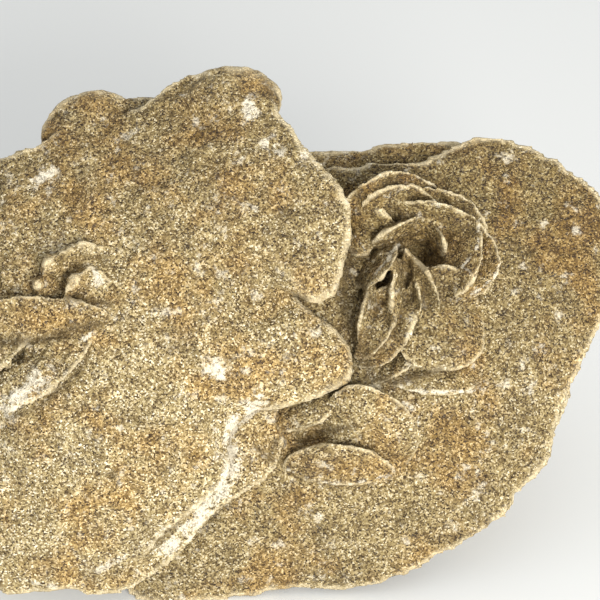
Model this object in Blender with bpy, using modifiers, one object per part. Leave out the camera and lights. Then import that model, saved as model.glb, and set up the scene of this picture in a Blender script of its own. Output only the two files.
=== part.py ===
"""Gypsum sand rose: lens-shaped crystal blades, coated in sand, grown through one another as one stone.

Blades are placed in the face frame, in millimetres: u runs to the right across the front face,
v runs up it and w stands out of it. The face leans back by FACE_LEAN, and the stone rests on flats
worn on its lowest blades at z = 0.
"""

import math
from dataclasses import dataclass

import bmesh
import bpy
import numpy as np
from mathutils import Vector, noise

MM = 0.001

# Driving dimensions, in millimetres and degrees.
FACE_LEAN = 35.0  # how far the front face leans back from upright
FACE_HEIGHT = 48.5  # height of the face frame's origin above the ground
WORN_RIM = 1.1  # half thickness of a large blade at its worn rim
PETAL_RIM = 0.55  # half thickness of a small blade at its rim
CELL = 0.7  # cell of the remesh that joins the blades
SOFTENING = 2  # rounds of smoothing over the joined blades
LUMP_SPACING = 9.0  # distance between the low lumps on the blades' faces
LUMP_HEIGHT = 0.4
FACETS = 9000  # triangles after the joined surface is simplified
SEED_STEP = 7.3  # keeps the blades' ragged rims unlike each other
GROUND_SIDE = 400.0  # side of the block that wears the resting flats

NAME = "sand_rose"


@dataclass
class Blade:
    """One crystal blade: a lens that stands on a root line.

    run is the root line's direction in the face, counted from u. lean is how far the blade leans
    over from w towards the left of its run: 0 stands straight out of the face, 90 lies in it.
    size holds half the length, half the height and half the thickness. rim, for a large blade,
    gives (angle, radius, lift) around its edge, where lift bends the rim out of the blade's plane.
    """

    at: tuple
    run: float
    lean: float
    size: tuple
    rim: tuple = ()
    ragged: float = 0.07
    edge: float = PETAL_RIM


FRONT_RIM = (
    (-161, 41, -4), (-140, 49, -5), (-119, 56.5, -6), (-108, 51.5, -5), (-100, 47.9, -4),
    (-92, 44.5, -3), (-84, 39, -1), (-76, 36, 0), (-65, 33.6, 1), (-57, 31, 1), (-52, 26.5, 1),
    (-46, 24.8, 1), (-34, 26.5, 1), (-27, 31, 1), (-20, 35.5, 1), (-13, 40, 1), (-6, 39.3, 1),
    (0, 37, 1), (8, 31, 1), (18, 30, 1), (35, 36, 1), (50, 44, 1), (60, 50.5, 2), (66, 52.8, 1),
    (76, 51.3, 0), (83, 48, -1), (91, 42, -1), (99, 40.6, -1), (107, 41.5, -1), (119, 40, -1),
    (131, 41.7, -2), (145, 43, -3), (172, 41.2, -3),
)  # fmt: skip

FRONT_UNDER_RIM = (
    (-161, 30, 0), (-119, 40, 0), (-108, 50, -2), (-97, 50, -2), (-90, 46.8, -2), (-81, 42.5, -1),
    (-74, 38.6, 0), (-64, 36.3, 0), (-46, 36.2, 0), (-39, 34.6, 0), (-31, 31.5, 0), (-20, 28, 0),
    (0, 26, 0), (30, 30, 0), (60, 30, 0), (90, 30, 0), (130, 30, 0), (170, 30, 0),
)  # fmt: skip

UPPER_LOBE_RIM = (
    (-95, 14, -2), (-70, 16, -1), (-54, 17.9, 0), (-49, 21.4, 1), (-42, 22.7, 2), (-32, 22.6, 3),
    (-20, 21.5, 4), (-8, 21.3, 4.5), (4, 20.8, 4.5), (16, 20, 4), (30, 18.5, 3), (45, 18.2, 2),
    (60, 19.6, 0), (80, 22, -2), (110, 24, -4), (150, 24, -5), (190, 22, -5), (230, 17, -4),
)  # fmt: skip

RIGHT_RIM = (
    (0, 40.4, 0), (10, 45, 0), (22, 51, 0), (34, 55.7, -1), (44, 54.3, -2), (52, 52.6, -2),
    (60, 50.8, -2), (66, 48.4, -2), (70, 44.8, -2), (75, 41.2, -1), (82, 39.2, -1),
    (90, 39.0, -1), (97, 39.0, -1), (103, 39.6, -2), (130, 42, 0), (160, 48, 0),
    (190, 52, 0), (212, 57, -2), (224, 63.5, -3), (232, 57, -3), (241, 49.8, -3), (251, 44.6, -3),
    (264, 42.4, -3), (279, 40.2, -2), (290, 38.3, -2), (304, 37.6, -2), (314, 38.4, -1),
    (321, 37.2, -1), (331, 38.7, -1), (345, 37.5, 0),
)  # fmt: skip

TOP_LOBE_RIM = (
    (0, 24, 0), (30, 25, 0), (47, 24.8, 0), (57, 21.4, 0), (73, 18.6, 0), (88, 17.2, 0),
    (98, 16.4, 0), (113, 17.6, 0), (129, 20.4, 0), (150, 20, 0), (180, 20, 0), (220, 18, 0),
    (270, 15, 0), (320, 18, 0),
)  # fmt: skip


def main_blades():
    """The two great discs of the front, and the lobes that thicken their edges."""
    return [
        Blade((13.3, -13.3, 0), 0, 90, (46, 46, 6.5), rim=RIGHT_RIM, edge=WORN_RIM),
        Blade((-29.5, -5.7, 8), 0, 90, (44, 44, 8.5), rim=FRONT_RIM, edge=1.5),
        Blade((-29.5, -5.7, 5), 0, 90, (44, 44, 5), rim=FRONT_UNDER_RIM, edge=1.3),
        Blade((-11.4, 15.2, 12), 0, 90, (22, 22, 4.2), rim=UPPER_LOBE_RIM, edge=1.6),
        Blade((-13.6, 36.5, 7.5), 8, 90, (10.3, 7.2, 4.2), edge=2.5),  # knob on top
        Blade((-20.5, 36.0, 5), 30, 90, (7, 5, 3.5), edge=2.0),  # shoulder of the knob
        Blade((-38.8, 30.5, 3.5), 8, 90, (10.0, 8.8, 4.5), edge=2.0),  # top left lobe
        Blade((-28.5, 31.5, 3), -10, 90, (8.0, 7.0, 4.0), edge=2.0),  # saddle beside it
        Blade((-61, 14, -5), 0, 90, (13, 13, 5), edge=1.5),  # lump behind the left
        Blade((14.0, 12.8, -6), 0, 90, (24, 20, 4), rim=TOP_LOBE_RIM, edge=1.5),
        Blade((41.8, -20.4, -3.0), 62, 88, (17.4, 8.6, 2.8), edge=0.9),  # layer under its right rim
    ]


def right_rosette():
    """Small blades of the rose that grows in the upper left of the right disc."""
    return [
        Blade((15.2, 18.6, 6.5), 26, 32, (8.4, 8.4, 1.3)),  # broad petal at the top left
        Blade((16.8, 16.9, 7.4), 22, 36, (6.4, 7.0, 1.0), ragged=0.1),  # layer on its face
        Blade((21.4, 19.0, 3.6), -8, 44, (6.0, 5.4, 1.4)),  # its neighbour along the ledge
        Blade((20.4, 17.4, 5.6), -26, 38, (6.6, 6.4, 1.0)),  # leaf between them and the bowl
        Blade((25.1, 13.5, 6.6), -13, 42, (10.4, 7.0, 1.2)),  # crest above the bowl
        Blade((26.4, 15.4, 4.6), -20, 48, (9.4, 7.0, 1.0)),  # layer behind the crest
        Blade((13.0, 12.9, 6.0), -23, 40, (5.6, 6.8, 1.3)),  # three-cornered petal
        Blade((17.7, 12.7, 6.5), 28, 8, (5.6, 6.4, 1.1), edge=0.65),  # rib beside the bowl
        Blade((26.5, 8.4, 6.0), -109, 45, (9.2, 10.2, 1.3)),  # bowl petal
        Blade((29.5, 7.4, 4.6), -108, 56, (7.6, 9.6, 1.1)),  # petal outside the bowl
        Blade((26.2, -1.0, 5.4), 2, 48, (7.4, 9.8, 1.6)),  # front wall of the bowl
        Blade((25.3, 10.9, 6.5), -74, 12, (3.4, 6.4, 1.1), edge=0.65),  # upright inside the bowl
        Blade((14.2, 6.5, 6.5), 52, -18, (5.6, 7.4, 1.3), edge=0.65),  # bright rib on the left
        Blade((16.0, -1.0, 5.5), -12, 35, (3.4, 6.2, 1.0)),  # step between the ribs
        Blade((18.5, 1.5, 6.0), 86, 14, (6.6, 7.0, 1.3), edge=0.7),  # rib down the middle
        Blade((22.2, 3.6, 6.2), -60, 14, (7.0, 7.8, 1.4), edge=0.7),  # rib to the lower right
        Blade((21.5, 1.0, 6.0), -80, 6, (4.4, 6.2, 1.0), edge=0.6),  # short rib beside it
        Blade((12.9, -2.9, 6.0), 77, 16, (6.4, 6.6, 1.3), edge=0.7),  # rib at the lower left
        Blade((15.6, -4.2, 6.0), 70, -14, (4.6, 6.4, 1.0), edge=0.6),  # rib on the petal below
        Blade((15.0, -5.2, 6.8), 56, -52, (9.0, 7.2, 1.3)),  # petal under the ribs
        Blade((13.4, -5.4, 8.2), 57, -44, (7.0, 5.0, 0.9)),  # layer on its face
        Blade((18.2, -10.6, 5.6), 40, -40, (7.5, 4.6, 1.0)),  # its lower layer
        Blade((27.2, -6.2, 6.2), -14, 106, (7.8, 7.4, 3.2), edge=1.1),  # swollen petal
        Blade((25.4, -3.2, 6.4), -22, 92, (7.4, 5.6, 3.0), edge=0.9),  # its upper layer
        Blade((22.6, -7.4, 6.8), -60, -58, (6.4, 5.4, 1.2)),  # its left edge
        Blade((24.9, -14.0, 5.4), -3, -62, (10.0, 4.4, 1.1)),  # flat bright blade
        Blade((11.2, 10.4, 6.4), -48, 62, (2.6, 2.8, 0.7)),  # white chip by the front disc
    ]


def lower_petals():
    """Petals that come out from under the front disc onto the right disc."""
    return [
        Blade((12.0, -25.4, 5.2), -24, 56, (10.5, 11.5, 1.9), edge=0.8),  # broad pale petal
        Blade((7.2, -32.4, 4.6), -3, 50, (11.0, 7.6, 1.6)),  # dark face below it
        Blade((7.5, -32.0, 4.6), -3, -68, (10.6, 2.8, 0.9)),  # thin pale rim under it
        Blade((0.6, -19.6, 5.6), 28, -60, (7.0, 5.4, 1.4)),  # flap under the disc's edge
    ]


def left_rosette():
    """Petals of the smaller rose near the left edge of the front disc."""
    return [
        Blade((-46.4, 2.4, 13.2), 82, 18, (3.4, 4.6, 2.0), ragged=0.3, edge=1.3),  # rough arc
        Blade((-45.0, 5.0, 13.4), 56, 20, (3.6, 5.2, 2.1), ragged=0.3, edge=1.3),
        Blade((-42.4, 7.2, 13.6), 34, 26, (3.8, 5.0, 2.0), ragged=0.3, edge=1.2),
        Blade((-39.0, 8.2, 13.4), 4, 34, (3.4, 4.4, 1.7), ragged=0.3, edge=1.0),
        Blade((-40.0, 2.6, 13.8), 48, 16, (4.8, 5.2, 1.7), ragged=0.2, edge=1.1),  # lump within it
        Blade((-37.6, 1.4, 14.2), -4, 66, (4.4, 4.6, 2.2), ragged=0.2, edge=1.1),  # its golden face
        Blade((-45.2, -6.0, 13.2), -6, 55, (15.4, 8.4, 1.7), edge=0.8),  # long crest
        Blade((-48.0, -10.9, 13.6), 38, -56, (13.2, 7.6, 1.6), edge=0.8),  # white-edged ledge
        Blade((-55.4, -8.4, 12.8), 42, -50, (8.4, 5.0, 1.1)),  # thin ledge beyond it
        Blade((-58.6, -1.0, 10.6), 66, 30, (9.0, 6.5, 1.4)),
        Blade((-60.0, 8.0, 9.0), 124, 35, (7.5, 6.0, 1.3)),
        Blade((-60.5, -14.0, 9.5), 20, -40, (8.0, 6.0, 1.3)),
    ]


def back_blades():
    """Discs crossed behind the face, which carry it."""
    return [
        Blade((-26, -10.8, -22), 90, 30, (34, 32, 6), edge=WORN_RIM),
        Blade((20, -12.8, -22), 90, -32, (33, 30, 5.5), edge=WORN_RIM),
        Blade((-4, 0, -26), 0, 145, (42, 30, 5), edge=WORN_RIM),
        Blade((-4, -26, -28), 8, 140, (38, 27, 7), edge=1.5),
        Blade((-2, -4, -34), 20, 20, (30, 24, 5), edge=WORN_RIM),
        Blade((34, 2, -14), 60, 160, (17, 15, 3.5), edge=0.9),
        Blade((-48, 2, -16), 110, 150, (18, 15, 4), edge=0.9),
        Blade((12, 6, -26), 72, 168, (20, 20, 4), edge=0.9),
        Blade((-20, 5, -26), 112, 196, (19, 18, 4), edge=0.9),
        Blade((-5, 9, -18), 24, 122, (21, 15, 3.5), edge=0.9),
    ]


def pits():
    """Hollows between the blades: the middle and the three half widths of each."""
    return [
        ((22.6, 8.6, 9.5), (3.6, 2.6, 5.5)),  # bowl of the right rosette
        ((2.2, -25.0, 8.5), (4.6, 2.0, 5.0)),  # under the flap
    ]


def rim_profile(blade, angles, seed):
    """Radius and lift of a blade's rim at the given angles, in radians."""
    waves = [noise.noise((1.3 * math.cos(a), 1.3 * math.sin(a), seed)) for a in angles]
    ripples = [noise.noise((4.0 * math.cos(a), 4.0 * math.sin(a), seed + 50)) for a in angles]
    uneven = blade.ragged * (np.array(waves) + 0.4 * np.array(ripples))
    if not blade.rim:
        long, high = blade.size[0], blade.size[1]
        round_radius = long * high / np.hypot(high * np.cos(angles), long * np.sin(angles))
        return round_radius * (1 + uneven), np.zeros(len(angles))
    around = np.radians([point[0] for point in blade.rim])
    radius = smooth_ring(around, [point[1] for point in blade.rim], angles)
    lift = smooth_ring(around, [point[2] for point in blade.rim], angles)
    return radius * (1 + 0.35 * uneven), lift


def smooth_ring(around, values, angles):
    """Smooth periodic curve through values given at the angles around."""
    order = np.argsort(np.mod(around, math.tau))
    knots = np.mod(around, math.tau)[order]
    heights = np.array(values, dtype=float)[order]
    knots = np.concatenate((knots[-2:] - math.tau, knots, knots[:2] + math.tau))
    heights = np.concatenate((heights[-2:], heights, heights[:2]))
    slopes = np.gradient(heights, knots)
    asked = np.mod(angles, math.tau)
    cell = np.clip(np.searchsorted(knots, asked, side="right") - 1, 0, len(knots) - 2)
    width = knots[cell + 1] - knots[cell]
    t = (asked - knots[cell]) / width
    start = (2 * t**3 - 3 * t**2 + 1) * heights[cell] + (t**3 - 2 * t**2 + t) * width * slopes[cell]
    end = (3 * t**2 - 2 * t**3) * heights[cell + 1] + (t**3 - t**2) * width * slopes[cell + 1]
    return start + end


def blade_axes(blade):
    """The blade's length, height and thickness directions in the face frame."""
    run, lean = math.radians(blade.run), math.radians(blade.lean)
    length = Vector((math.cos(run), math.sin(run), 0))
    side = Vector((-math.sin(run), math.cos(run), 0))
    height = Vector((0, 0, 1)) * math.cos(lean) + side * math.sin(lean)
    return length, height, length.cross(height)


def lens_mesh(blade, seed):
    """One lens: a sphere squashed to the blade's outline and thickness."""
    large = max(blade.size[:2]) > 12
    bm = bmesh.new()
    bmesh.ops.create_uvsphere(
        bm, u_segments=96 if large else 36, v_segments=32 if large else 18, radius=1.0
    )
    ball = np.array([vert.co[:] for vert in bm.verts])
    across = np.hypot(ball[:, 0], ball[:, 1])
    radius, lift = rim_profile(blade, np.arctan2(ball[:, 1], ball[:, 0]), seed)
    swell = blade.edge + (blade.size[2] - blade.edge) * np.abs(ball[:, 2])
    local = np.column_stack(
        (
            ball[:, 0] * radius,
            ball[:, 1] * radius,
            ball[:, 2] * swell + lift * across**2,
        )
    )
    placed = local @ np.array([axis[:] for axis in blade_axes(blade)]) + np.array(blade.at)
    for vert, place in zip(bm.verts, placed, strict=True):
        vert.co = place
    mesh = bpy.data.meshes.new("lens")
    bm.to_mesh(mesh)
    bm.free()
    return mesh


def blade_mesh(blades):
    """All blades in one mesh, in face-frame millimetres, still as separate shells."""
    bm = bmesh.new()
    for number, blade in enumerate(blades):
        lens = lens_mesh(blade, number * SEED_STEP)
        bm.from_mesh(lens)
        bpy.data.meshes.remove(lens)
    mesh = bpy.data.meshes.new("blades")
    bm.to_mesh(mesh)
    bm.free()
    return mesh


def stand_up(mesh):
    """Turns face-frame millimetres into metres with +Z up and the ground at z = 0."""
    lean = math.radians(FACE_LEAN)
    for vert in mesh.vertices:
        u, v, w = vert.co
        y = v * math.sin(lean) - w * math.cos(lean)
        z = v * math.cos(lean) + w * math.sin(lean) + FACE_HEIGHT
        vert.co = (u * MM, y * MM, z * MM)


def evaluated_mesh(item):
    """The object's mesh as its modifiers leave it."""
    depsgraph = bpy.context.evaluated_depsgraph_get()
    return bpy.data.meshes.new_from_object(item.evaluated_get(depsgraph))


def apply_modifier(item, kind, **settings):
    """Adds one modifier, applies it and puts the result on the object."""
    modifier = item.modifiers.new(kind.lower(), kind)
    for key, value in settings.items():
        setattr(modifier, key, value)
    bpy.context.view_layer.update()
    mesh = evaluated_mesh(item)
    item.modifiers.clear()
    item.data = mesh


def keep_outer_shell(item):
    """Removes the walls of pockets sealed between the blades, so that the stone is solid."""
    bpy.ops.object.select_all(action="DESELECT")
    item.select_set(True)
    bpy.context.view_layer.objects.active = item
    bpy.ops.mesh.separate(type="LOOSE")
    shells = list(bpy.context.selected_objects)
    outer = max(shells, key=lambda shell: len(shell.data.vertices))
    for shell in shells:
        if shell is not outer:
            bpy.data.objects.remove(shell)
    outer.name = NAME
    return outer


def add_lumps(mesh):
    """Raises low, uneven lumps over the faces."""
    points = np.empty(len(mesh.vertices) * 3, dtype=np.float32)
    normals = np.empty(len(mesh.vertices) * 3, dtype=np.float32)
    mesh.vertices.foreach_get("co", points)
    mesh.vertex_normals.foreach_get("vector", normals)
    points = points.reshape(-1, 3)
    normals = normals.reshape(-1, 3)
    scale = 1 / (LUMP_SPACING * MM)
    height = [noise.fractal(Vector(point) * scale, 1.0, 2.0, 2) for point in points.tolist()]
    points += normals * (np.array(height, dtype=np.float32)[:, None] * LUMP_HEIGHT * MM)
    mesh.vertices.foreach_set("co", points.ravel())
    mesh.update()


def stone_material():
    """Sand-coated gypsum: pale golden brown and matt."""
    material = bpy.data.materials.new("sand_coated_gypsum")
    material.use_nodes = True
    shader = material.node_tree.nodes["Principled BSDF"]
    shader.inputs["Base Color"].default_value = (0.42, 0.33, 0.19, 1)
    shader.inputs["Roughness"].default_value = 0.85
    shader.inputs["Metallic"].default_value = 0
    return material


def ground_cutter(collection):
    """A block under the ground, which wears the resting flats."""
    bpy.ops.mesh.primitive_cube_add(size=GROUND_SIDE * MM, location=(0, 0, -GROUND_SIDE * MM / 2))
    block = bpy.context.active_object
    block.name = "ground_block"
    block.hide_render = True
    block.display_type = "WIRE"
    for other in block.users_collection:
        other.objects.unlink(block)
    collection.objects.link(block)
    return block


def pit_cutter(collection):
    """The hollows as one cutter of separate balls."""
    bm = bmesh.new()
    for middle, half in pits():
        made = bmesh.ops.create_uvsphere(bm, u_segments=16, v_segments=10, radius=1.0)
        for vert in made["verts"]:
            vert.co = [m + h * c for m, h, c in zip(middle, half, vert.co, strict=True)]
    mesh = bpy.data.meshes.new("pits")
    bm.to_mesh(mesh)
    bm.free()
    stand_up(mesh)
    cutter = bpy.data.objects.new("pits", mesh)
    cutter.hide_render = True
    cutter.display_type = "WIRE"
    collection.objects.link(cutter)
    return cutter


def centre_on_origin(mesh):
    """Moves the stone so that the origin is at the middle of its underside."""
    corners = np.array([vert.co[:] for vert in mesh.vertices])
    middle = (corners.min(axis=0) + corners.max(axis=0)) / 2
    for vert in mesh.vertices:
        vert.co -= Vector((middle[0], middle[1], 0))


def all_blades():
    return main_blades() + right_rosette() + lower_petals() + left_rosette() + back_blades()


def main():
    for item in list(bpy.data.objects):
        bpy.data.objects.remove(item)
    stone_parts = bpy.data.collections.new("gypsum_sand_rose")
    cutters = bpy.data.collections.new("cutters")
    bpy.context.scene.collection.children.link(stone_parts)
    bpy.context.scene.collection.children.link(cutters)

    mesh = blade_mesh(all_blades())
    stand_up(mesh)
    stone = bpy.data.objects.new(NAME, mesh)
    stone_parts.objects.link(stone)
    apply_modifier(stone, "REMESH", mode="VOXEL", voxel_size=CELL * MM)
    stone = keep_outer_shell(stone)
    apply_modifier(stone, "SMOOTH", factor=0.5, iterations=SOFTENING)
    add_lumps(stone.data)
    stone.data.calc_loop_triangles()
    share = FACETS / len(stone.data.loop_triangles)
    apply_modifier(stone, "DECIMATE", ratio=share, use_collapse_triangulate=True)
    hollows = pit_cutter(cutters)
    apply_modifier(stone, "BOOLEAN", operation="DIFFERENCE", object=hollows, solver="EXACT")
    block = ground_cutter(cutters)
    apply_modifier(stone, "BOOLEAN", operation="DIFFERENCE", object=block, solver="EXACT")
    centre_on_origin(stone.data)
    stone.data.materials.clear()
    stone.data.materials.append(stone_material())


main()
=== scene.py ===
"""Looks of the gypsum sand rose: crystal discs and petals with a coat of sand grains.

The blades are placed as in the part: in the face frame, in millimetres, u to the right across the
front face, v up it and w out of it. The face leans back by FACE_LEAN. Each group of blades is
joined into one skin, roughened, and strewn with sand grains.
"""

import math
from dataclasses import dataclass

import bmesh
import bpy
import numpy as np
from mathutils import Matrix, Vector, noise
from mathutils.bvhtree import BVHTree


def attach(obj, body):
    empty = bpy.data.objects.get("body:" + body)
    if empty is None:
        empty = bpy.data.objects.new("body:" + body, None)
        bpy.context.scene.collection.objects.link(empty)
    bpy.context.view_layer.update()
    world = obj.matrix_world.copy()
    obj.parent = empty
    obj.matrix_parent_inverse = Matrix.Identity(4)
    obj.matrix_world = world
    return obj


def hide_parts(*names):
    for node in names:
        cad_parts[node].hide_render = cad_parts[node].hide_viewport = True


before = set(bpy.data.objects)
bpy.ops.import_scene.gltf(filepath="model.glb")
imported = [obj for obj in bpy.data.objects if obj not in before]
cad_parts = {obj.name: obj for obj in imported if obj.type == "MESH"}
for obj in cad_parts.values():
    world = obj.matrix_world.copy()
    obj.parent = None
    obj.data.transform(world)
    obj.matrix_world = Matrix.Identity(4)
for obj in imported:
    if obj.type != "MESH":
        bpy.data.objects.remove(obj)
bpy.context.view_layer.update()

MM = 0.001
NODE = "sand_rose"

# The part's own driving dimensions, in millimetres and degrees.
FACE_LEAN = 35.0
FACE_HEIGHT = 48.5
WORN_RIM = 1.1
PETAL_RIM = 0.55
SEED_STEP = 7.3
PART_MIDDLE = (-6.90, 8.66)  # x and y of the part's middle before it is centred

# Relief of the skin: (spacing, height) of each layer of noise, in millimetres.
LUMPS = (9.0, 0.4)
CRUST = (5.0, 0.42)
KNOBBLES = (2.6, 0.46)
ROUGHNESS = (1.2, 0.30)
PIT_SPACING = 4.6
PIT_DEPTH = 0.9

# Hollows in the front: (u, v, half width, half height, depth), in millimetres.
HOLLOWS = (
    (22.8, 8.4, 4.6, 3.0, 4.0),  # bowl of the right rosette
    (2.4, -25.2, 4.4, 2.2, 3.0),  # under the flap
    (-5.8, -26.6, 3.4, 5.4, 1.6),  # pitted corner of the front disc
    (-22.2, 39.6, 2.6, 2.4, 1.4),  # beside the knob
    (-34.8, -32.4, 0.9, 0.9, 1.6),  # small round pit
    (-56.6, -9.4, 0.6, 0.6, 1.6),  # and one by the left edge
)

# Rays that feel for shelter between the blades, in millimetres.
SHELTER_RAYS = 8
SHELTER_START = 0.35
SHELTER_REACH = 9.0

# Sand grains, in millimetres.
GRAIN_RADIUS = 0.145
GRAIN_SPREAD = 0.3  # how unequal the grains are, as the spread of a log-normal
GRAIN_SINK = 0.06  # how far a grain's middle lies under the skin
FRONT_GRAINS = 115000
BACK_GRAINS = 27000
GRAINS_A_PIECE = 40000
BURIED = 0.72  # shelter beyond which a place is inside the stone and gets no grains
BACK_SHARE = 0.35  # how densely grains lie on the far sides of the front discs

# What each point of a skin passes on to its grains.
MARKS = ("rim", "white", "dark", "golden", "dull_and_shade", "shelter")

# Camera.
FRAME_WIDTH = 114.0  # width of the view at the face frame's origin
CAMERA_DISTANCE = 400.0
SENSOR = 36.0


@dataclass
class Blade:
    """One crystal blade: a lens that stands on a root line.

    run is the root line's direction in the face, counted from u. lean is how far the blade leans
    over from w towards the left of its run: 0 stands straight out of the face, 90 lies in it.
    size holds half the length, half the height and half the thickness. rim, for a large blade,
    gives (angle, radius, lift) around its edge, where lift bends the rim out of the blade's plane.
    """

    at: tuple
    run: float
    lean: float
    size: tuple
    rim: tuple = ()
    ragged: float = 0.07
    edge: float = PETAL_RIM


FRONT_RIM = (
    (-161, 41, -4), (-140, 49, -5), (-119, 56.5, -6), (-108, 51.5, -5), (-100, 47.9, -4),
    (-92, 44.5, -3), (-84, 39, -1), (-76, 36, 0), (-65, 33.6, 1), (-57, 31, 1), (-52, 26.5, 1),
    (-46, 24.8, 1), (-34, 26.5, 1), (-27, 31, 1), (-20, 35.5, 1), (-13, 40, 1), (-6, 39.3, 1),
    (0, 37, 1), (8, 31, 1), (18, 30, 1), (35, 36, 1), (50, 44, 1), (60, 50.5, 2), (66, 52.8, 1),
    (76, 51.3, 0), (83, 48, -1), (91, 42, -1), (99, 40.6, -1), (107, 41.5, -1), (119, 40, -1),
    (131, 41.7, -2), (145, 43, -3), (172, 41.2, -3),
)  # fmt: skip

FRONT_UNDER_RIM = (
    (-161, 30, 0), (-119, 40, 0), (-108, 50, -2), (-97, 50, -2), (-90, 46.8, -2), (-81, 42.5, -1),
    (-74, 38.6, 0), (-64, 36.3, 0), (-46, 36.2, 0), (-39, 34.6, 0), (-31, 31.5, 0), (-20, 28, 0),
    (0, 26, 0), (30, 30, 0), (60, 30, 0), (90, 30, 0), (130, 30, 0), (170, 30, 0),
)  # fmt: skip

UPPER_LOBE_RIM = (
    (-95, 14, -2), (-70, 16, -1), (-54, 17.9, 0), (-49, 21.4, 1), (-42, 22.7, 2), (-32, 22.6, 3),
    (-20, 21.5, 4), (-8, 21.3, 4.5), (4, 20.8, 4.5), (16, 20, 4), (30, 18.5, 3), (45, 18.2, 2),
    (60, 19.6, 0), (80, 22, -2), (110, 24, -4), (150, 24, -5), (190, 22, -5), (230, 17, -4),
)  # fmt: skip

RIGHT_RIM = (
    (0, 40.4, 0), (10, 45, 0), (22, 51, 0), (34, 55.7, -1), (44, 54.3, -2), (52, 52.6, -2),
    (60, 50.8, -2), (66, 48.4, -2), (70, 44.8, -2), (75, 41.2, -1), (82, 39.2, -1),
    (90, 39.0, -1), (97, 39.0, -1), (103, 39.6, -2), (130, 42, 0), (160, 48, 0),
    (190, 52, 0), (212, 57, -2), (224, 63.5, -3), (232, 57, -3), (241, 49.8, -3), (251, 44.6, -3),
    (264, 42.4, -3), (279, 40.2, -2), (290, 38.3, -2), (304, 37.6, -2), (314, 38.4, -1),
    (321, 37.2, -1), (331, 38.7, -1), (345, 37.5, 0),
)  # fmt: skip

TOP_LOBE_RIM = (
    (0, 24, 0), (30, 25, 0), (47, 24.8, 0), (57, 21.4, 0), (73, 18.6, 0), (88, 17.2, 0),
    (98, 16.4, 0), (113, 17.6, 0), (129, 20.4, 0), (150, 20, 0), (180, 20, 0), (220, 18, 0),
    (270, 15, 0), (320, 18, 0),
)  # fmt: skip


def main_blades():
    """The two great discs of the front, and the lobes that thicken their edges."""
    return [
        Blade((13.3, -13.3, 0), 0, 90, (46, 46, 6.5), rim=RIGHT_RIM, edge=WORN_RIM),
        Blade((-29.5, -5.7, 8), 0, 90, (44, 44, 8.5), rim=FRONT_RIM, edge=1.5),
        Blade((-29.5, -5.7, 5), 0, 90, (44, 44, 5), rim=FRONT_UNDER_RIM, edge=1.3),
        Blade((-11.4, 15.2, 12), 0, 90, (22, 22, 4.2), rim=UPPER_LOBE_RIM, edge=1.6),
        Blade((-13.6, 36.5, 7.5), 8, 90, (10.3, 7.2, 4.2), edge=2.5),  # knob on top
        Blade((-20.5, 36.0, 5), 30, 90, (7, 5, 3.5), edge=2.0),  # shoulder of the knob
        Blade((-38.8, 30.5, 3.5), 8, 90, (10.0, 8.8, 4.5), edge=2.0),  # top left lobe
        Blade((-28.5, 31.5, 3), -10, 90, (8.0, 7.0, 4.0), edge=2.0),  # saddle beside it
        Blade((-61, 14, -5), 0, 90, (13, 13, 5), edge=1.5),  # lump behind the left
        Blade((14.0, 12.8, -6), 0, 90, (24, 20, 4), rim=TOP_LOBE_RIM, edge=1.5),
        Blade((41.8, -20.4, -3.0), 62, 88, (17.4, 8.6, 2.8), edge=0.9),  # layer under its right rim
    ]


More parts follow.
